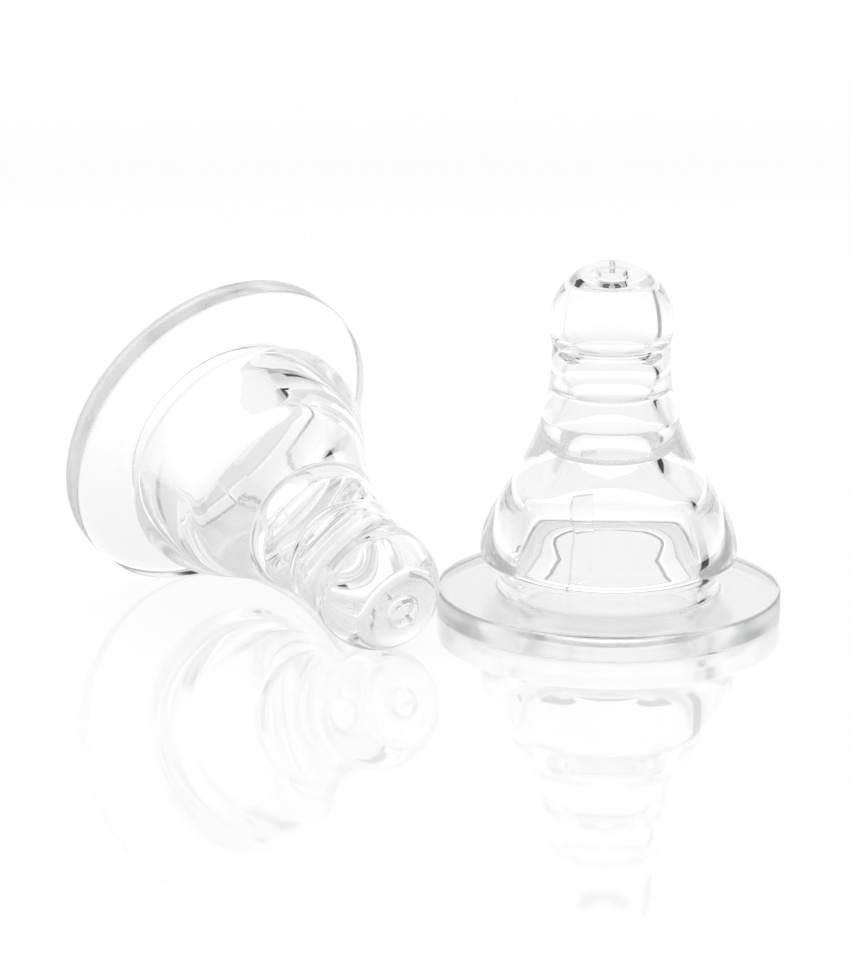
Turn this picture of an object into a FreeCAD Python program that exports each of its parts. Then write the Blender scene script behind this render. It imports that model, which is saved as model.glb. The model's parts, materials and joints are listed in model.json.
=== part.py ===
import FreeCAD, Part
import math
import os
import Sketcher
from FreeCAD import Placement, Rotation, Vector

# A pair of clear silicone feeding teats: one stands on its flange, the other lies beside it on
# its flange edge and its bulb. Both come out of one mould, so both are made by the same function.
# Frame: origin in the middle of the floor that the pair covers, +Z up along the standing teat.
# The lying teat's axis runs along +X, tip lowest.

# Driving sizes in millimetres, angles in degrees.
SIZES = {
    # flange and the neck that the bottle's screw ring grips
    "flange_radius": 20.0,
    "flange_thickness": 3.0,
    "flange_edge_round": 0.3,
    "neck_radius": 12.9,
    "neck_height": 2.4,
    # cone that grows out of the neck and narrows into the stem
    "bulge_radius": 14.9,
    "shoulder_round": 8.8,
    "cone_angle": 31.0,
    "sweep_round": 25.3,
    # stem and bulb
    "bulb_radius": 7.1,
    "waist_depth": 0.35,
    "stem_run": 0.6,
    "bulb_blend_round": 6.0,
    # feed hole, and the blind recess that it opens into
    "feed_hole_radius": 0.3,
    "recess_radius": 1.5,
    "recess_height": 1.0,
    # hollow of the bulb and stem
    "tip_wall": 2.93,
    "roof_radius": 4.4,
    "bulb_wall": 1.8,
    "bulb_room_drop": 4.6,
    "upper_ridge_height": 1.27,
    "upper_ridge_drop": 2.7,
    "stem_wall": 1.55,
    "ring_room_rise": 2.9,
    "ring_room_drop": 2.45,
    "lower_ridge_height": 0.45,
    "flare_radius": 6.45,
    "flare_drop": 3.15,
    # lip between stem and cone: a throat, its sloping floor, the lip's hole and the collar under it
    "throat_radius": 6.25,
    "throat_drop": 3.2,
    "lip_bore": 5.1,
    "lip_drop": 0.9,
    "collar_radius": 5.9,
    "collar_drop": 1.4,
    # chamber of the cone, and the bore through neck and flange
    "neck_wall": 2.3,
    "mouth_round": 0.5,
    "bore_depth": 7.0,
    "chamber_height": 6.2,
    "chamber_taper": 0.95,
    # one rib stands on the wall of the chamber and bore
    "rib_width": 3.0,
    "rib_height": 0.8,
    "rib_lean": 1.0,
    "rib_start": 0.8,
    "rib_length": 12.6,
    "rib_root": 0.3,
    # how the pair is set out
    "upright_turn": 157.4,
    "lying_turn": 30.0,
    "pair_gap": 2.4,
    "tip_lead": 0.5,
}


class Size:
    """A length that holds its present value and the expression that ties it to the sheet."""

    def __init__(self, value, text):
        self.value = value
        self.text = text

    @staticmethod
    def of(other):
        if isinstance(other, Size):
            return other
        return Size(float(other), str(other))

    def __add__(self, other):
        other = Size.of(other)
        return Size(self.value + other.value, f"({self.text} + {other.text})")

    def __sub__(self, other):
        other = Size.of(other)
        return Size(self.value - other.value, f"({self.text} - {other.text})")

    def __mul__(self, other):
        other = Size.of(other)
        return Size(self.value * other.value, f"({self.text} * {other.text})")

    def __truediv__(self, other):
        other = Size.of(other)
        return Size(self.value / other.value, f"({self.text} / {other.text})")

    def square(self):
        return self * self

    def root(self):
        return Size(math.sqrt(self.value), f"sqrt({self.text})")

    def sine(self):
        return Size(math.sin(math.radians(self.value)), f"sin({self.text})")

    def cosine(self):
        return Size(math.cos(math.radians(self.value)), f"cos({self.text})")


def size(name):
    return Size(SIZES[name], f"Sizes.{name}")


ZERO = Size(0.0, "0")


def stem_radius():
    """The stem is a little thinner than the bulb, which makes the waist."""
    return size("bulb_radius") - size("waist_depth")


def fill_sheet(doc):
    sheet = doc.addObject("Spreadsheet::Sheet", "Sizes")
    for row, (name, value) in enumerate(SIZES.items(), start=1):
        sheet.set(f"A{row}", name)
        sheet.set(f"B{row}", str(value))
        sheet.setAlias(f"B{row}", name)
    doc.recompute()


def origin_plane(body, role):
    return next(plane for plane in body.Origin.OriginFeatures if plane.Role == role)


def new_sketch(body, name, role):
    sketch = body.newObject("Sketcher::SketchObject", name)
    sketch.AttachmentSupport = [(origin_plane(body, role), "")]
    sketch.MapMode = "FlatFace"
    return sketch


def pin_point(sketch, curve, end, point):
    """Fix one end of a curve at its distances from the axis and from the flange's underside."""
    for kind, distance in zip(("DistanceX", "DistanceY"), point):
        if distance.text == ZERO.text:
            line = -2 if kind == "DistanceX" else -1
            sketch.addConstraint(Sketcher.Constraint("PointOnObject", curve, end, line))
            continue
        index = sketch.addConstraint(
            Sketcher.Constraint(kind, -1, 1, curve, end, distance.value)
        )
        sketch.setExpression(f"Constraints[{index}]", distance.text)


def add_line(sketch, start, end):
    ends = [Vector(r.value, z.value, 0) for r, z in (start, end)]
    return sketch.addGeometry(Part.LineSegment(*ends), False), 1, 2


def add_arc(sketch, start, end, radius, turn):
    """Add an arc of under a half circle; turn is 1 for a left-hand bend and -1 for a right-hand one."""
    first, last = (Vector(r.value, z.value, 0) for r, z in (start, end))
    chord = last - first
    height = math.sqrt(radius.value**2 - chord.Length**2 / 4)
    left = Vector(-chord.y, chord.x, 0).normalize()
    centre = (first + last) * 0.5 + left * (turn * height)
    angles = [math.atan2(p.y - centre.y, p.x - centre.x) for p in (first, last)]
    if turn < 0:
        angles.reverse()
    circle = Part.Circle(centre, Vector(0, 0, 1), radius.value)
    curve = sketch.addGeometry(Part.ArcOfCircle(circle, *angles), False)
    index = sketch.addConstraint(Sketcher.Constraint("Radius", curve, radius.value))
    sketch.setExpression(f"Constraints[{index}]", radius.text)
    return (curve, 1, 2) if turn > 0 else (curve, 2, 1)


def draw_outline(sketch, start, steps):
    """Draw a closed outline. A step is the next point, or the next point, a radius and a turn."""
    point = start
    before = None
    for target, *bend in [*steps, (start,)]:
        if bend:
            curve, head, tail = add_arc(sketch, point, target, *bend)
        else:
            curve, head, tail = add_line(sketch, point, target)
        if before is not None:
            sketch.addConstraint(Sketcher.Constraint("Coincident", *before, curve, head))
        else:
            opening = (curve, head)
        if target is not start:
            pin_point(sketch, curve, tail, target)
        before = (curve, tail)
        point = target
    sketch.addConstraint(Sketcher.Constraint("Coincident", *before, *opening))
    pin_point(sketch, *opening, start)


def arc_radius(across, along):
    """Radius of an arc that runs the given way along and across from where it is parallel to along."""
    return (across.square() + along.square()) / (across * 2)


def outer_levels():
    """Heights and radii of the outside that the hollow also needs."""
    turn = size("cone_angle")
    rise = turn.sine()
    fall = Size.of(1) - turn.cosine()
    neck_top = size("flange_thickness") + size("neck_height")
    widest = neck_top + size("bulge_radius") - size("neck_radius")
    cone_low = (
        size("bulge_radius") - size("shoulder_round") * fall,
        widest + size("shoulder_round") * rise,
    )
    cone_top_radius = stem_radius() + size("sweep_round") * fall
    cone_top = (
        cone_top_radius,
        cone_low[1] + (cone_low[0] - cone_top_radius) * turn.cosine() / turn.sine(),
    )
    stem_low = cone_top[1] + size("sweep_round") * rise
    stem_top = stem_low + size("stem_run")
    reach = size("bulb_radius") + size("bulb_blend_round")
    side = stem_radius() + size("bulb_blend_round")
    lift = (reach.square() - side.square()).root()
    bulb_centre = stem_top + lift
    bulb_low = (
        side * size("bulb_radius") / reach,
        bulb_centre - lift * size("bulb_radius") / reach,
    )
    return {
        "neck_top": neck_top,
        "widest": widest,
        "cone_low": cone_low,
        "cone_top": cone_top,
        "stem_low": stem_low,
        "stem_top": stem_top,
        "bulb_low": bulb_low,
        "bulb_centre": bulb_centre,
        "top": bulb_centre + size("bulb_radius"),
    }


def revolve_outside(body, levels):
    edge = size("flange_edge_round")
    flange = size("flange_radius")
    thick = size("flange_thickness")
    neck = size("neck_radius")
    bulge = size("bulge_radius")
    stem = stem_radius()
    sketch = new_sketch(body, "outside_section", "XZ_Plane")
    draw_outline(sketch, (ZERO, ZERO), [
        ((flange - edge, ZERO),),
        ((flange, edge), edge, 1),
        ((flange, thick - edge),),
        ((flange - edge, thick), edge, 1),
        ((neck, thick),),
        ((neck, levels["neck_top"]),),
        ((bulge, levels["widest"]), bulge - neck, 1),
        (levels["cone_low"], size("shoulder_round"), 1),
        (levels["cone_top"],),
        ((stem, levels["stem_low"]), size("sweep_round"), -1),
        ((stem, levels["stem_top"]),),
        (levels["bulb_low"], size("bulb_blend_round"), -1),
        ((ZERO, levels["top"]), size("bulb_radius"), 1),
    ])
    form = body.newObject("PartDesign::Revolution", "outside")
    form.Profile = sketch
    form.ReferenceAxis = (sketch, ["V_Axis"])
    form.Angle = 360.0


def groove_hollow(body, levels):
    roof = levels["top"] - size("tip_wall")
    recess_top = roof + size("recess_height")
    room_radius = size("bulb_radius") - size("bulb_wall")
    room_height = roof - size("bulb_room_drop")
    ring_radius = stem_radius() - size("stem_wall")
    upper_ridge_bore = ring_radius - size("upper_ridge_height")
    lower_ridge_bore = ring_radius - size("lower_ridge_height")
    upper_ridge = room_height - size("upper_ridge_drop")
    ring_height = upper_ridge - size("ring_room_rise")
    lower_ridge = ring_height - size("ring_room_drop")
    flare = lower_ridge - size("flare_drop")
    throat = flare - size("throat_drop")
    lip = throat - size("lip_drop")
    collar = lip - size("collar_drop")
    bore = size("neck_radius") - size("neck_wall")
    chamber_top = size("bore_depth") + size("chamber_height")
    sketch = new_sketch(body, "hollow_section", "XZ_Plane")
    draw_outline(sketch, (ZERO, recess_top), [
        ((ZERO, ZERO),),
        ((bore + size("mouth_round"), ZERO),),
        ((bore, size("mouth_round")), size("mouth_round"), -1),
        ((bore, size("bore_depth")),),
        ((bore - size("chamber_taper"), chamber_top),),
        ((size("collar_radius"), collar),),
        ((size("lip_bore"), lip),),
        ((size("throat_radius"), throat),),
        ((size("flare_radius"), flare),),
        ((lower_ridge_bore, lower_ridge),),
        (
            (ring_radius, ring_height),
            arc_radius(ring_radius - lower_ridge_bore, size("ring_room_drop")),
            1,
        ),
        (
            (upper_ridge_bore, upper_ridge),
            arc_radius(ring_radius - upper_ridge_bore, size("ring_room_rise")),
            1,
        ),
        (
            (room_radius, room_height),
            arc_radius(room_radius - upper_ridge_bore, size("upper_ridge_drop")),
            1,
        ),
        (
            (size("roof_radius"), roof),
            arc_radius(room_radius - size("roof_radius"), size("bulb_room_drop")),
            1,
        ),
        ((size("recess_radius"), roof),),
        ((size("recess_radius"), recess_top),),
    ])
    hollow = body.newObject("PartDesign::Groove", "hollow")
    hollow.Profile = sketch
    hollow.ReferenceAxis = (sketch, ["V_Axis"])
    hollow.Angle = 360.0


def pad_rib(body):
    bore = size("neck_radius") - size("neck_wall")
    inside = bore - size("rib_height")
    outside = bore + size("rib_root")
    low = size("rib_start")
    high = low + size("rib_length")
    sketch = new_sketch(body, "rib_section", "XZ_Plane")
    draw_outline(sketch, (inside, low), [
        ((outside, low),),
        ((outside, high),),
        ((inside - size("rib_lean"), high),),
    ])
    rib = body.newObject("PartDesign::Pad", "rib")
    rib.Profile = sketch
    rib.SideType = "Symmetric"
    rib.setExpression("Length", size("rib_width").text)


def pocket_feed_hole(body):
    sketch = new_sketch(body, "feed_hole_circle", "XY_Plane")
    circle = Part.Circle(Vector(0, 0, 0), Vector(0, 0, 1), SIZES["feed_hole_radius"])
    curve = sketch.addGeometry(circle, False)
    sketch.addConstraint(Sketcher.Constraint("Coincident", curve, 3, -1, 1))
    index = sketch.addConstraint(
        Sketcher.Constraint("Radius", curve, SIZES["feed_hole_radius"])
    )
    sketch.setExpression(f"Constraints[{index}]", size("feed_hole_radius").text)
    hole = body.newObject("PartDesign::Pocket", "feed_hole")
    hole.Profile = sketch
    hole.Type = "ThroughAll"
    hole.Reversed = True


def make_teat(doc, label, placement):
    levels = outer_levels()
    body = doc.addObject("PartDesign::Body", label)
    body.Label = label
    volumes = []
    steps = (
        lambda: revolve_outside(body, levels),
        lambda: groove_hollow(body, levels),
        lambda: pad_rib(body),
        lambda: pocket_feed_hole(body),
    )
    for step in steps:
        step()
        doc.recompute()
        volumes.append(body.Shape.Volume)
    outside, hollowed, ribbed, finished = volumes
    assert hollowed < outside and ribbed > hollowed and finished < ribbed, volumes
    body.Placement = placement
    return body


def lying_rest():
    """Tilt, reach and lift of a teat that rests on its flange's rounded top edge and its bulb."""
    levels = outer_levels()
    edge = SIZES["flange_edge_round"]
    edge_height = SIZES["flange_thickness"] - edge
    edge_radius = SIZES["flange_radius"] - edge
    along = levels["bulb_centre"].value - edge_height
    span = math.hypot(along, edge_radius)
    tilt = math.atan2(edge_radius, along) - math.asin((SIZES["bulb_radius"] - edge) / span)
    reach = levels["top"].value * math.cos(tilt)
    lift = edge + edge_radius * math.cos(tilt) + edge_height * math.sin(tilt)
    overhang = edge + edge_radius * math.sin(tilt) - edge * math.cos(tilt)
    return tilt, reach, lift, overhang


def pair_placements():
    """Set the pair side by side, with the middle of their shared footprint at the origin."""
    tilt, reach, lift, overhang = lying_rest()
    flange = SIZES["flange_radius"]
    aside = flange + SIZES["bulb_radius"] + SIZES["pair_gap"]
    behind = reach - SIZES["tip_lead"]
    upright = Vector((behind + overhang - flange) / 2, aside / 2, 0)
    lying = upright + Vector(-behind, -aside, lift)
    about_own_axis = [Rotation(Vector(0, 0, 1), SIZES[name]) for name in ("upright_turn", "lying_turn")]
    tip_down = Rotation(Vector(0, 1, 0), 90.0 + math.degrees(tilt))
    return {
        "upright_teat": Placement(upright, about_own_axis[0]),
        "lying_teat": Placement(lying, tip_down.multiply(about_own_axis[1])),
    }


def check(doc, bodies):
    for item in doc.Objects:
        broken = {"Invalid", "Error"} & set(item.State)
        assert not broken, f"{item.Label}: {item.State}"
    for body in bodies:
        shape = body.Shape
        assert not shape.isNull() and shape.isValid(), f"{body.Label}: bad shape"
        assert len(shape.Solids) == 1, f"{body.Label}: {len(shape.Solids)} solids"


def main():
    doc = FreeCAD.newDocument("teat_pair")
    fill_sheet(doc)
    bodies = [make_teat(doc, *item) for item in pair_placements().items()]
    doc.recompute()
    check(doc, bodies)
    os.makedirs("parts", exist_ok=True)
    for body in bodies:
        body.Shape.exportStep(f"parts/{body.Label}.step")
        box = body.Shape.BoundBox
        print(body.Label, round(body.Shape.Volume, 1), "mm3, box", box)


main()
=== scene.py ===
# %% [markdown]
# # A pair of clear silicone bottle teats
#
# The object is two teats out of one mould. One stands on its flange, the other lies beside it.
# They are clear, so what is inside the wall shows as much as the outside does: the hollow, its
# ridges and its lip all bend the light. A see-through piece needs a true wall, a true inner face
# and something in the room to bend, so this lesson spends its time on the outline and the studio.
#
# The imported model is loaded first, because it fixes where each teat is and how large.

# %% Load the frame
import json
import math

import bpy
from mathutils import Matrix, Vector


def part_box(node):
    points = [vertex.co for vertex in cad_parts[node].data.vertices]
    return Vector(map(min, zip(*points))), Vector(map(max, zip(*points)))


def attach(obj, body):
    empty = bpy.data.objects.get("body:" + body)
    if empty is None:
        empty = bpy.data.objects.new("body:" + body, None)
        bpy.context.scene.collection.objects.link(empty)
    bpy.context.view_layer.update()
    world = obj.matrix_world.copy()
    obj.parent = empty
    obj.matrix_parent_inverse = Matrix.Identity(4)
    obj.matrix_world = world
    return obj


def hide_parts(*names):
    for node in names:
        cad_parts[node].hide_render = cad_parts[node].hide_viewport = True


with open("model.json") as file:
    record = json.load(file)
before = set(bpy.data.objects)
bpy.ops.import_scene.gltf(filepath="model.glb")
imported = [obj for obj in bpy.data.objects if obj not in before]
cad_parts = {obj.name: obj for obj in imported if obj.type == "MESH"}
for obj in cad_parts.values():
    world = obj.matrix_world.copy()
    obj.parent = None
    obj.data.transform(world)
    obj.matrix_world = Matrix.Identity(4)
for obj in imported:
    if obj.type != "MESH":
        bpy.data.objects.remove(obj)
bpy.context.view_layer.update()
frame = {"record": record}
MM = 0.001

# %% [markdown]
# ## Sizes of one teat
#
# A teat is a body of revolution, so its whole shape is one outline of radius and height. Only the
# sizes that a mould maker would write on the drawing are set here, in millimetres. Every level in
# between follows from arcs that run smoothly into their neighbours.

# %% Sizes of the outside
FLANGE_RADIUS = 20.0
FLANGE_THICKNESS = 3.0
NECK_RADIUS = 12.9
NECK_HEIGHT = 2.4
BULGE_RADIUS = 14.9
SHOULDER_ROUND = 8.8
CONE_ANGLE = math.radians(31)
SWEEP_ROUND = 25.3
BULB_RADIUS = 7.1
WAIST_DEPTH = 0.35
STEM_RADIUS = BULB_RADIUS - WAIST_DEPTH
STEM_RUN = 0.6
BLEND_ROUND = 6.0
FEED_HOLE_RADIUS = 0.3

neck_top = FLANGE_THICKNESS + NECK_HEIGHT
widest = neck_top + BULGE_RADIUS - NECK_RADIUS
fall = 1 - math.cos(CONE_ANGLE)
cone_low = (BULGE_RADIUS - SHOULDER_ROUND * fall, widest + SHOULDER_ROUND * math.sin(CONE_ANGLE))
cone_top_radius = STEM_RADIUS + SWEEP_ROUND * fall
cone_top = (cone_top_radius, cone_low[1] + (cone_low[0] - cone_top_radius) / math.tan(CONE_ANGLE))
stem_low = cone_top[1] + SWEEP_ROUND * math.sin(CONE_ANGLE)
stem_top = stem_low + STEM_RUN
bulb_reach = BULB_RADIUS + BLEND_ROUND
bulb_lift = math.sqrt(bulb_reach**2 - (STEM_RADIUS + BLEND_ROUND) ** 2)
bulb_centre = stem_top + bulb_lift
bulb_low = (
    (STEM_RADIUS + BLEND_ROUND) * BULB_RADIUS / bulb_reach,
    bulb_centre - bulb_lift * BULB_RADIUS / bulb_reach,
)
crown = bulb_centre + math.sqrt(BULB_RADIUS**2 - FEED_HOLE_RADIUS**2)
top = bulb_centre + BULB_RADIUS
low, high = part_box("upright_teat")
print(f"outline is {top:.3f} mm high, the packed teat {(high.z - low.z) / MM:.3f} mm")
print(f"outline is {2 * FLANGE_RADIUS:.3f} mm wide, the packed teat {(high.x - low.x) / MM:.3f} mm")

# %% Sizes of the hollow
TIP_WALL = 2.93
RECESS_RADIUS = 1.5
RECESS_HEIGHT = 1.0
ROOF_RADIUS = 4.4
BULB_WALL = 1.8
BULB_ROOM_DROP = 4.6
UPPER_RIDGE_HEIGHT = 1.27
UPPER_RIDGE_DROP = 2.7
STEM_WALL = 1.55
RING_ROOM_RISE = 2.9
RING_ROOM_DROP = 2.45
LOWER_RIDGE_HEIGHT = 0.45
FLARE_RADIUS = 6.45
FLARE_DROP = 3.15
THROAT_RADIUS = 6.25
THROAT_DROP = 3.2
LIP_BORE = 5.1
LIP_DROP = 0.9
COLLAR_RADIUS = 5.9
COLLAR_DROP = 1.4
NECK_WALL = 2.3
BORE_DEPTH = 7.0
MOUTH_ROUND = 0.5
CHAMBER_HEIGHT = 6.2
CHAMBER_TAPER = 0.95

BULB_ROOM_RADIUS = BULB_RADIUS - BULB_WALL
RING_ROOM_RADIUS = STEM_RADIUS - STEM_WALL
UPPER_RIDGE_BORE = RING_ROOM_RADIUS - UPPER_RIDGE_HEIGHT
LOWER_RIDGE_BORE = RING_ROOM_RADIUS - LOWER_RIDGE_HEIGHT
BORE_RADIUS = NECK_RADIUS - NECK_WALL
roof = top - TIP_WALL
recess_top = roof + RECESS_HEIGHT
bulb_room = roof - BULB_ROOM_DROP
upper_ridge = bulb_room - UPPER_RIDGE_DROP
ring_room = upper_ridge - RING_ROOM_RISE
lower_ridge = ring_room - RING_ROOM_DROP
flare = lower_ridge - FLARE_DROP
throat = flare - THROAT_DROP
lip = throat - LIP_DROP
collar = lip - COLLAR_DROP
chamber_top = BORE_DEPTH + CHAMBER_HEIGHT
chamber_radius = BORE_RADIUS - CHAMBER_TAPER
print(f"roof {roof:.2f}, ridges {upper_ridge:.2f} and {lower_ridge:.2f}, lip {lip:.2f} mm high")

# %% [markdown]
# ## A pen that draws the outline
#
# By hand one would add a plane, merge it into a single vertex, and draw with it: extrude the vertex
# for a straight stretch, spin it about a centre for a round one. The pen below does just that and
# remembers where it is. It is better than typing in a list of points, because an arc stays an arc,
# with as many steps as its turn needs.

# %% The pen
ARC_STEP = math.radians(4)
SAME_PLACE = 0.002


def choose(mesh, wanted):
    """In edit mode, select the parts of a mesh that pass a test, and nothing else."""
    bpy.ops.mesh.select_all(action="DESELECT")
    bpy.ops.object.mode_set(mode="OBJECT")
    for part in mesh:
        part.select = wanted(part)
    bpy.ops.object.mode_set(mode="EDIT")


class Pen:
    """One selected vertex in edit mode, moved about the X-Z plane in millimetres."""

    def __init__(self, name, radius, height):
        bpy.ops.object.select_all(action="DESELECT")
        bpy.ops.mesh.primitive_plane_add(size=MM)
        self.piece = bpy.context.object
        self.piece.name = name
        bpy.ops.object.mode_set(mode="EDIT")
        bpy.ops.mesh.select_mode(type="VERT")
        bpy.ops.mesh.merge(type="CENTER")
        bpy.ops.transform.translate(value=(radius * MM, 0, height * MM))
        self.at = (radius, height)

    def line(self, radius, height, parts=1):
        step = ((radius - self.at[0]) * MM / parts, 0, (height - self.at[1]) * MM / parts)
        for _ in range(parts):
            bpy.ops.mesh.extrude_vertices_move(TRANSFORM_OT_translate={"value": step})
        self.at = (radius, height)

    def arc(self, radius, height, bend, turn):
        """Draw an arc of radius bend; turn is 1 for a left-hand bend, -1 for a right-hand one."""
        chord = Vector((radius - self.at[0], height - self.at[1]))
        middle = Vector(self.at) + chord / 2
        aside = Vector((-chord.y, chord.x)).normalized() * math.sqrt(bend**2 - chord.length**2 / 4)
        centre = middle + aside * turn
        angle = 2 * math.asin(chord.length / 2 / bend)
        bpy.ops.mesh.spin(
            steps=max(2, math.ceil(angle / ARC_STEP)),
            angle=angle * turn,
            center=(centre.x * MM, 0, centre.y * MM),
            axis=(0, 1, 0),
        )
        self.at = (radius, height)

    def ease(self, radius, height, width):
        """Round off the outline's corner at a place, as no moulded corner is quite sharp."""
        steps = 4 if width < 0.5 else 8
        place = Vector((radius * MM, 0, height * MM))
        choose(self.piece.data.vertices, lambda v: (v.co - place).length < 0.01 * MM)
        bpy.ops.mesh.bevel(affect="VERTICES", offset=width * MM, segments=steps)


def arc_bend(across, along):
    """Radius of an arc that starts out straight along its run and drifts across it."""
    return (across**2 + along**2) / (2 * across)


# %% [markdown]
# ## Drawing the teat's section
#
# The pen starts at the low end of the feed hole, in the recess under the tip. It goes up through
# the hole, down the outside, under the flange, and back up through the hollow. The closed loop
# leaves the axis free, so the spun mesh has no pole where faces would pinch.

# %% Outside of the section
pen = Pen("upright_teat_skin", FEED_HOLE_RADIUS, recess_top)
pen.line(FEED_HOLE_RADIUS, crown, parts=4)
pen.arc(*bulb_low, BULB_RADIUS, -1)
pen.arc(STEM_RADIUS, stem_top, BLEND_ROUND, 1)
pen.line(STEM_RADIUS, stem_low, parts=2)
pen.arc(*cone_top, SWEEP_ROUND, 1)
pen.line(*cone_low, parts=8)
pen.arc(BULGE_RADIUS, widest, SHOULDER_ROUND, -1)
pen.arc(NECK_RADIUS, neck_top, BULGE_RADIUS - NECK_RADIUS, -1)
pen.line(NECK_RADIUS, FLANGE_THICKNESS, parts=3)
pen.line(FLANGE_RADIUS, FLANGE_THICKNESS, parts=6)
pen.line(FLANGE_RADIUS, 0, parts=3)
pen.line(BORE_RADIUS + MOUTH_ROUND, 0, parts=6)
print(f"outside ends {pen.at[0]:.2f} mm from the axis, under the flange")

# %% Hollow of the section
RIB_START = 0.8

pen.arc(BORE_RADIUS, MOUTH_ROUND, MOUTH_ROUND, -1)
pen.line(BORE_RADIUS, RIB_START)
pen.line(BORE_RADIUS, BORE_DEPTH, parts=6)
pen.line(chamber_radius, chamber_top, parts=4)
pen.line(COLLAR_RADIUS, collar, parts=3)
pen.line(LIP_BORE, lip)
pen.line(THROAT_RADIUS, throat)
pen.line(FLARE_RADIUS, flare, parts=3)
pen.line(LOWER_RIDGE_BORE, lower_ridge, parts=3)
for radius, height, drift, run in (
    (RING_ROOM_RADIUS, ring_room, RING_ROOM_RADIUS - LOWER_RIDGE_BORE, ring_room - lower_ridge),
    (UPPER_RIDGE_BORE, upper_ridge, RING_ROOM_RADIUS - UPPER_RIDGE_BORE, upper_ridge - ring_room),
    (BULB_ROOM_RADIUS, bulb_room, BULB_ROOM_RADIUS - UPPER_RIDGE_BORE, bulb_room - upper_ridge),
    (ROOF_RADIUS, roof, BULB_ROOM_RADIUS - ROOF_RADIUS, roof - bulb_room),
):
    pen.arc(radius, height, arc_bend(drift, run), 1)
pen.line(RECESS_RADIUS, roof, parts=2)
pen.line(RECESS_RADIUS, recess_top)
pen.line(FEED_HOLE_RADIUS, recess_top)
bpy.ops.mesh.select_all(action="SELECT")
bpy.ops.mesh.remove_doubles(threshold=SAME_PLACE * MM)

# %% Ease the corners
for radius, height, width in (
    (FEED_HOLE_RADIUS, recess_top, 0.1),
    (FEED_HOLE_RADIUS, crown, 0.1),
    (NECK_RADIUS, neck_top, 0.25),
    (NECK_RADIUS, FLANGE_THICKNESS, 0.35),
    (FLANGE_RADIUS, FLANGE_THICKNESS, 0.3),
    (FLANGE_RADIUS, 0, 0.3),
    (chamber_radius, chamber_top, 1.2),
    (COLLAR_RADIUS, collar, 0.8),
    (LIP_BORE, lip, 0.12),
    (THROAT_RADIUS, throat, 0.15),
    (FLARE_RADIUS, flare, 0.2),
    (LOWER_RIDGE_BORE, lower_ridge, 0.25),
    (UPPER_RIDGE_BORE, upper_ridge, 0.15),
    (ROOF_RADIUS, roof, 0.9),
    (RECESS_RADIUS, roof, 0.35),
    (RECESS_RADIUS, recess_top, 0.12),
):
    pen.ease(radius, height, width)
bpy.ops.object.mode_set(mode="OBJECT")
teat = pen.piece
print("section has", len(teat.data.vertices), "points and", len(teat.data.edges), "edges")

# %% [markdown]
# ## Spinning the section
#
# A screw modifier would turn the outline too, but it stays live and hides the rings that the rib
# needs later. Spin makes the faces at once. The last ring lands on the first, so doubles are
# merged, and the normals are worked out afresh, because spin leaves them facing either way.

# %% Spin
TURN_STEPS = 180

bpy.ops.object.mode_set(mode="EDIT")
bpy.ops.mesh.select_all(action="SELECT")
bpy.ops.mesh.spin(steps=TURN_STEPS, angle=math.tau, center=(0, 0, 0), axis=(0, 0, 1))
bpy.ops.mesh.select_all(action="SELECT")
bpy.ops.mesh.remove_doubles(threshold=SAME_PLACE * MM)
bpy.ops.mesh.normals_make_consistent(inside=False)
bpy.ops.object.mode_set(mode="OBJECT")
print("spun teat has", len(teat.data.polygons), "faces")

# %% [markdown]
# ## The rib inside
#
# One low rib runs up the wall of the bore and chamber. A boolean block would cut the clean rings
# into slivers, which show in clear rubber. Instead the wall's own faces are picked by their place,
# extruded inwards, pressed flat and leant along the chamber's taper. The new edges are bevelled.

# %% Rib
RIB_HALF_STEPS = 4
RIB_HEIGHT = 0.8
RIB_PAST_CHAMBER = 0.2
RIB_LEAN = 1.0
RIB_EDGE = 0.15
SMOOTH_ANGLE = math.radians(32)
RIB_FACE = BORE_RADIUS - RIB_HEIGHT
RIB_TOP = chamber_top + RIB_PAST_CHAMBER

half_turn = math.tau / TURN_STEPS * RIB_HALF_STEPS


def on_rib(face):
    x, y, z = face.center
    inside = math.hypot(x, y) < (BORE_RADIUS + 0.1) * MM
    return inside and abs(math.atan2(y, x)) < half_turn and RIB_START * MM < z < RIB_TOP * MM


bpy.ops.object.mode_set(mode="EDIT")
bpy.ops.mesh.select_mode(type="FACE")
choose(teat.data.polygons, on_rib)
bpy.ops.mesh.extrude_region_move(TRANSFORM_OT_translate={"value": (-0.1 * MM, 0, 0)})
bpy.ops.transform.resize(value=(0, 1, 1), center_override=(RIB_FACE * MM, 0, 0))
bpy.ops.transform.rotate(
    value=math.atan2(RIB_LEAN, RIB_TOP - RIB_START),
    orient_axis="Y",
    center_override=(RIB_FACE * MM, 0, RIB_START * MM),
)
bpy.ops.mesh.region_to_loop()
bpy.ops.mesh.bevel(affect="EDGES", offset=RIB_EDGE * MM, segments=3)
bpy.ops.object.mode_set(mode="OBJECT")
bpy.ops.object.shade_smooth_by_angle(angle=SMOOTH_ANGLE)
print("teat with its rib has", len(teat.data.polygons), "faces")

# %% [markdown]
# ## Keeping the mould's own coordinates
#
# Both teats are placed by moving their meshes, after which Object coordinates no longer tell flange
# from tip on the lying one. So each vertex keeps its place in the mould as an attribute, and the
# finish reads that: it then sits alike on both teats.

# %% Attribute with the place in the mould
places = [c for vertex in teat.data.vertices for c in vertex.co]
mould = teat.data.attributes.new("mould", "FLOAT_VECTOR", "POINT")
mould.data.foreach_set("vector", places)
print("mould places kept for", len(mould.data), "vertices")

# %% [markdown]
# ## Placing the pair
#
# The record's neck mounts give each teat's axis and the middle of its neck. The second teat is a
# copy with a mesh of its own. Each turn is worked into the mesh, so the objects stay at the origin.

# %% Place both teats
OWN_TURN = {"upright": 157.4, "lying": 30.0}


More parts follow.
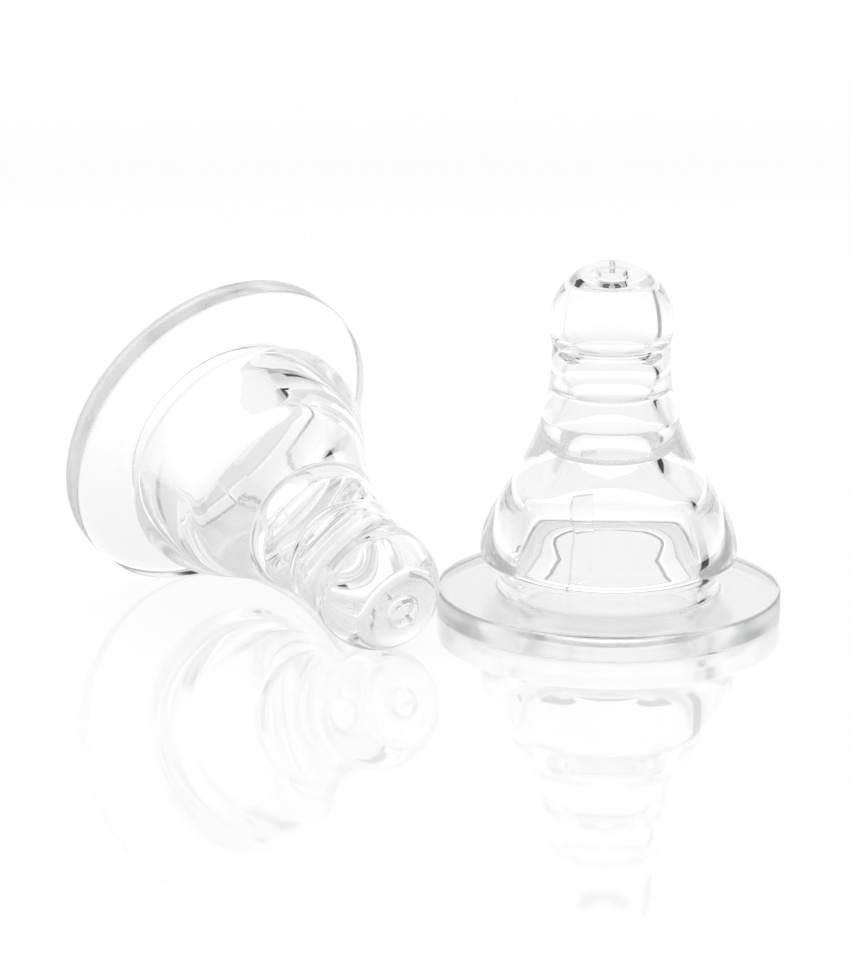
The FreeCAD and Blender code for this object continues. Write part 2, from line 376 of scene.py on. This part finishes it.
def neck_matrix(body):
    """Where the frame holds a teat: its neck's middle, its axis and its turn about that axis."""
    neck = next(m for m in frame["record"]["mounts"] if m["name"] == f"{body}_neck")
    axis = Vector(neck["axis"])
    foot = Vector(neck["pos_m"]) - axis * (FLANGE_THICKNESS + NECK_HEIGHT / 2) * MM
    tilt = Matrix.Rotation(math.atan2(axis.x, axis.z), 4, "Y")
    return Matrix.Translation(foot) @ tilt @ Matrix.Rotation(math.radians(OWN_TURN[body]), 4, "Z")


bpy.ops.object.select_all(action="DESELECT")
teat.select_set(True)
bpy.context.view_layer.objects.active = teat
bpy.ops.object.duplicate()
skins = {"upright": teat, "lying": bpy.context.object}
skins["lying"].name = "lying_teat_skin"
for body, skin in skins.items():
    skin.data.name = skin.name
    skin.data.transform(neck_matrix(body))
    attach(skin, body)
    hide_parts(f"{body}_teat")
    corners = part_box(f"{body}_teat")
    points = [v.co for v in skin.data.vertices]
    misfit = max(
        abs(pick(p[k] for p in points) - corner[k])
        for pick, corner in zip((min, max), corners)
        for k in range(3)
    )
    print(f"{skin.name} fits the packed box within {misfit / MM:.3f} mm")

# %% [markdown]
# ## Reckoning with sockets
#
# Shader maths reads better as sums than as rows of nodes. A small class wraps a socket: an operator
# on it adds a Math node, and one method adds any other node.

# %% Wire class


class Wire:
    """An output socket that Python can reckon with."""

    def __init__(self, socket):
        self.socket = socket

    @staticmethod
    def node(tree, kind, settings=(), sockets=()):
        """Add a node: its settings are set first, then each socket gets its value or its link."""
        made = tree.nodes.new(kind)
        for name, value in dict(settings).items():
            setattr(made, name, value)
        for key, value in dict(sockets).items():
            if isinstance(value, Wire):
                tree.links.new(value.socket, made.inputs[key])
            else:
                made.inputs[key].default_value = value
        return made

    @staticmethod
    def mix(tree, factor, first, second):
        """The first colour where the factor is 0, the second where it is 1."""
        made = Wire.node(
            tree,
            "ShaderNodeMix",
            {"data_type": "RGBA"},
            {"Factor": factor, "A": first, "B": second},
        )
        return Wire(made.outputs["Result"])

    def maths(self, operation, *values):
        tree = self.socket.id_data
        made = Wire.node(tree, "ShaderNodeMath", {"operation": operation}, enumerate(values))
        return Wire(made.outputs[0])

    def __add__(self, other):
        return self.maths("ADD", self, other)

    __radd__ = __add__

    def __mul__(self, other):
        return self.maths("MULTIPLY", self, other)

    __rmul__ = __mul__

    def __sub__(self, other):
        return self.maths("SUBTRACT", self, other)

    def __rsub__(self, other):
        return self.maths("SUBTRACT", other, self)

    def step(self, start, end):
        """0 before start, 1 after end, and smooth between them."""
        made = Wire.node(
            self.socket.id_data,
            "ShaderNodeMapRange",
            {"interpolation_type": "SMOOTHSTEP"},
            {"Value": self, "From Min": start, "From Max": end},
        )
        return Wire(made.outputs[0])


# %% [markdown]
# ## Clear silicone
#
# Liquid silicone rubber comes out of a polished mould as clear as glass, but softer in its bending
# of light: its index is about 1.41. Thick stretches look a little grey, which is absorption in the
# volume and not a colour on the skin. The flange is a touch satin, because that part of the mould
# is blasted so that the seal does not stick. The polished parts keep faint flow waves, and handling
# leaves them a little uneven in gloss.

# %% Silicone material
SILICONE_INDEX = 1.41
HAZE_COLOUR = (0.80, 0.81, 0.81, 1)
HAZE_DENSITY = 9
CLEAN = (1, 1, 1, 1)
SMUDGED = (0.995, 0.998, 0.998, 1)
GLOSS = 0.02
GLOSS_SMUDGED = 0.015
SATIN = 0.02
SATIN_GRAIN = 0.03
SMUDGE_SCALE = 260
GRAIN_SCALE = 9000
WAVE_SCALE = 170
BUMP_STRENGTH = 0.12
BUMP_DISTANCE = 0.12


def clear_silicone():
    material = bpy.data.materials.new("clear_silicone")
    material.use_nodes = True
    tree = material.node_tree
    tree.nodes.clear()
    kept = Wire.node(tree, "ShaderNodeAttribute", {"attribute_name": "mould"})
    place = Wire(kept.outputs["Vector"])
    split = Wire.node(tree, "ShaderNodeSeparateXYZ", (), {0: place})
    height = Wire(split.outputs["Z"])
    flat = Wire.node(
        tree, "ShaderNodeVectorMath", {"operation": "MULTIPLY"}, {0: place, 1: (1, 1, 0)}
    )
    reach = Wire.node(
        tree, "ShaderNodeVectorMath", {"operation": "LENGTH"}, {0: Wire(flat.outputs[0])}
    )
    radius = Wire(reach.outputs["Value"])

    def cloud(scale, detail):
        made = Wire.node(
            tree, "ShaderNodeTexNoise", (), {"Vector": place, "Scale": scale, "Detail": detail}
        )
        return Wire(made.outputs["Fac"])

    below_neck = 1 - height.step(FLANGE_THICKNESS * MM, (FLANGE_THICKNESS + 0.5) * MM)
    outside = radius.step((NECK_RADIUS - 0.6) * MM, (NECK_RADIUS + 0.2) * MM)
    underside = 1 - height.step(0.05 * MM, 0.3 * MM)
    satin = below_neck * outside.maths("MAXIMUM", outside, underside)
    smudges = cloud(SMUDGE_SCALE, 4.0).step(0.45, 0.75)
    grain = cloud(GRAIN_SCALE, 3.0)
    waves = cloud(WAVE_SCALE, 1.0)
    roughness = GLOSS + smudges * GLOSS_SMUDGED + satin * (SATIN + grain * SATIN_GRAIN)
    relief = waves * 0.6 + satin * grain * 0.4
    bump = Wire.node(
        tree,
        "ShaderNodeBump",
        (),
        {"Strength": BUMP_STRENGTH, "Distance": BUMP_DISTANCE * MM, "Height": relief},
    )
    surface = Wire.node(
        tree,
        "ShaderNodeBsdfPrincipled",
        (),
        {
            "Base Color": Wire.mix(tree, smudges, CLEAN, SMUDGED),
            "Roughness": roughness,
            "IOR": SILICONE_INDEX,
            "Transmission Weight": 1.0,
            "Normal": Wire(bump.outputs[0]),
        },
    )
    inside = Wire.node(
        tree, "ShaderNodeVolumeAbsorption", (), {"Color": HAZE_COLOUR, "Density": HAZE_DENSITY}
    )
    Wire.node(
        tree,
        "ShaderNodeOutputMaterial",
        (),
        {"Surface": Wire(surface.outputs[0]), "Volume": Wire(inside.outputs[0])},
    )
    return material


silicone = clear_silicone()
for skin in skins.values():
    skin.data.materials.clear()
    skin.data.materials.append(silicone)
print("silicone has", len(silicone.node_tree.nodes), "nodes")

# %% [markdown]
# ## Camera
#
# The camera stands where the outlines of both teats fall on the photograph's: a long lens, a little
# above the table, looking down by some fifteen degrees.

# %% Camera
CAMERA_PLACE = Vector((202.17, -164.59, 83.32)) * MM
CAMERA_HEADING = math.radians(51.28)
CAMERA_PITCH = math.radians(-14.53)
CAMERA_ROLL = math.radians(-0.37)
FOCAL_PIXELS = 2326
IMAGE_HEIGHT = 956
SENSOR_HEIGHT = 36

lens = bpy.data.cameras.new("photo_camera")
lens.sensor_fit = "VERTICAL"
lens.sensor_height = SENSOR_HEIGHT
lens.lens = FOCAL_PIXELS / IMAGE_HEIGHT * SENSOR_HEIGHT
lens.clip_start = 0.01
camera = bpy.data.objects.new("photo_camera", lens)
bpy.context.scene.collection.objects.link(camera)
camera.matrix_world = (
    Matrix.Translation(CAMERA_PLACE)
    @ Matrix.Rotation(CAMERA_HEADING, 4, "Z")
    @ Matrix.Rotation(math.radians(90) + CAMERA_PITCH, 4, "X")
    @ Matrix.Rotation(CAMERA_ROLL, 4, "Z")
)
bpy.context.scene.camera = camera
print(f"lens {lens.lens:.1f} mm, camera at", tuple(round(c, 4) for c in CAMERA_PLACE))

# %% [markdown]
# ## Table
#
# The table is a glossy white sheet. Lit by the dome alone it would be grey next to the white
# background, so it gives some light of its own to the camera's rays, more towards the viewer, where
# it mirrors less of the dome. Its own colour is held low for those rays, and its coat is theirs
# alone, so the sheet stays white and still shows the pair's mirror images, which fade out towards
# the viewer. Seen through the rubber it is plain white, with painted shade that greys it towards
# both sides, where the sheet would run out of the light, and black where the flag of the next step
# stands on it.

# %% Table
TABLE_SIZE = 3.0
TABLE_GAP = 0.02
TABLE_GLOSS = 0.06
SHEET_INDEX = 1.45
COAT_INDEX = 1.6
SHEET_SHOWN = (0.30, 0.30, 0.30, 1)
SHEET_WHITE = (0.62, 0.62, 0.62, 1)
# painted shade: the grey the sheet shows towards both sides when seen through the rubber
SHEET_PAINTED_SIDE_SHADE = (0.42, 0.42, 0.42, 1)
BLACK = (0.01, 0.01, 0.01, 1)
# light of its own for the camera's rays, by how far the place is from the viewer
GLOW_NEAR = 0.76
GLOW_BESIDE = 0.63
GLOW_FAR = 0.43
GLOW_SEEN_THROUGH = 0.10
# where one value has passed into the next: angles in degrees, distances from the standing teat
SIDE_SHADE_START = (28, 50)
BLACK_FLAG = (51, 66)
SIDE_SHADE_AWAY = (30 * MM, 70 * MM)
FLAG_AWAY = (85 * MM, 95 * MM)
NEAR_TO_BESIDE = (-110 * MM, 110 * MM)
BESIDE_TO_FAR = (90 * MM, 450 * MM)
MIRROR_FADE = (-105 * MM, -35 * MM)
STAND = (low + high) / 2


def light_path(tree):
    rays = Wire.node(tree, "ShaderNodeLightPath")
    kinds = ("Camera", "Glossy", "Transmission")
    return [Wire(rays.outputs[f"Is {kind} Ray"]) for kind in kinds]


def table_sheet():
    material = bpy.data.materials.new("white_table")
    material.use_nodes = True
    tree = material.node_tree
    tree.nodes.clear()
    camera_ray, glossy_ray, glass_ray = light_path(tree)
    place = Wire(Wire.node(tree, "ShaderNodeTexCoord").outputs["Object"])
    split = Wire.node(tree, "ShaderNodeSeparateXYZ", (), {0: place})
    x, y, _ = (Wire(output) for output in split.outputs)
    east, north = x - STAND.x, y - STAND.y
    ahead = north * math.cos(CAMERA_HEADING) - east * math.sin(CAMERA_HEADING)
    right = east * math.cos(CAMERA_HEADING) + north * math.sin(CAMERA_HEADING)
    bearing = x.maths("ARCTAN2", right, ahead) * math.degrees(1)
    away = x.maths("SQRT", east * east + north * north)
    # painted shade: seen through the rubber, the sheet greys towards both sides, away from the
    # standing teat
    painted_side_shade = x.maths("ABSOLUTE", bearing).step(*SIDE_SHADE_START) * away.step(*SIDE_SHADE_AWAY)
    flag_left, flag_right = BLACK_FLAG
    past_left = bearing.step(flag_left - 1, flag_left + 1)
    past_right = bearing.step(flag_right - 1, flag_right + 1)
    dark = past_left * (1 - past_right) * away.step(*FLAG_AWAY)
    white_with_painted_side_shade = Wire.mix(tree, painted_side_shade, SHEET_WHITE, SHEET_PAINTED_SIDE_SHADE)
    seen_through = Wire.mix(tree, dark, white_with_painted_side_shade, BLACK)
    shown = (
        GLOW_NEAR
        + ahead.step(*NEAR_TO_BESIDE) * (GLOW_BESIDE - GLOW_NEAR)
        + ahead.step(*BESIDE_TO_FAR) * (GLOW_FAR - GLOW_BESIDE)
    )
    through_glass = glass_ray * (1 - dark) * GLOW_SEEN_THROUGH
    glow = camera_ray * shown + glossy_ray * GLOW_FAR + through_glass
    sheet = Wire.node(
        tree,
        "ShaderNodeBsdfPrincipled",
        (),
        {
            "Base Color": Wire.mix(tree, camera_ray, seen_through, SHEET_SHOWN),
            "Roughness": TABLE_GLOSS,
            "IOR": SHEET_INDEX,
            "Coat Weight": camera_ray * ahead.step(*MIRROR_FADE),
            "Coat IOR": COAT_INDEX,
            "Emission Color": glow,
            "Emission Strength": 1.0,
        },
    )
    Wire.node(tree, "ShaderNodeOutputMaterial", (), {"Surface": Wire(sheet.outputs[0])})
    return material


bpy.ops.object.select_all(action="DESELECT")
bpy.ops.mesh.primitive_plane_add(size=TABLE_SIZE, location=(0, 0, -TABLE_GAP * MM))
table = bpy.context.object
table.name = "table"
table.data.materials.append(table_sheet())
print("table is", TABLE_SIZE, "m across")

# %% [markdown]
# ## Studio
#
# Clear rubber has no look of its own: it shows the room, bent. In a plain white dome it would
# vanish. So only the part of the dome behind the pair is white, about as wide as a paper backdrop.
# The sides, the top and the camera's side are grey, which draws the edges. A black flag at the
# right gives the short dark dashes along the stem, and a narrow one high at the back the dark bar
# under the tip. Each is written as angles from the direction in which the camera looks, and a later
# one covers those before it. The camera itself sees plain white.
#
# Light that is caught inside the wall bounces many times before it comes out, so the limits on
# bounces are raised: too few of them leave black lines.

# %% Studio dome
STUDIO_LIGHT = 0.96
BOUNCES = 32
FLAGS = (
    # from and to in azimuth, from and to in elevation, softness, all in degrees, then the grey
    (-100, -38, -95, 95, 20, 0.82),
    (38, 275, -95, 95, 20, 0.74),
    (-100, -72, -95, 70, 12, 0.56),
    (72, 275, -95, 70, 12, 0.52),
    (-40, 40, 55, 95, 16, 0.75),
    (-26, 26, 41, 54, 2, 0.02),
    (*BLACK_FLAG, -10, 36, 3, 0.02),
)


def studio_dome():
    world = bpy.data.worlds.new("studio")
    bpy.context.scene.world = world
    world.use_nodes = True
    tree = world.node_tree
    tree.nodes.clear()
    way = Wire(Wire.node(tree, "ShaderNodeTexCoord").outputs["Generated"])
    split = Wire.node(tree, "ShaderNodeSeparateXYZ", (), {0: way})
    x, y, z = (Wire(output) for output in split.outputs)
    ahead = y * math.cos(CAMERA_HEADING) - x * math.sin(CAMERA_HEADING)
    right = x * math.cos(CAMERA_HEADING) + y * math.sin(CAMERA_HEADING)
    azimuth = right.maths("ARCTAN2", right, ahead) * math.degrees(1)
    round_back = azimuth + (1 - azimuth.step(-90.1, -89.9)) * 360
    elevation = z.maths("ARCSINE", z) * math.degrees(1)
    grey = 1.0
    for left, right_end, bottom, top_end, soft, value in FLAGS:
        turn = round_back if right_end > 180 else azimuth
        across = turn.step(left - soft / 2, left + soft / 2) * (
            1 - turn.step(right_end - soft / 2, right_end + soft / 2)
        )
        upright = elevation.step(bottom - soft / 2, bottom + soft / 2) * (
            1 - elevation.step(top_end - soft / 2, top_end + soft / 2)
        )
        flag = across * upright
        grey = grey * (1 - flag) + flag * value
    camera_ray = light_path(tree)[0]
    shown = camera_ray + (1 - camera_ray) * grey * STUDIO_LIGHT
    light = Wire.node(tree, "ShaderNodeBackground", (), {"Color": shown})
    Wire.node(tree, "ShaderNodeOutputWorld", (), {"Surface": Wire(light.outputs[0])})


studio_dome()
scene = bpy.context.scene
scene.view_settings.view_transform = "Standard"
scene.cycles.max_bounces = BOUNCES
scene.cycles.transmission_bounces = BOUNCES
scene.cycles.glossy_bounces = BOUNCES
print("studio dome has", len(FLAGS), "flags")
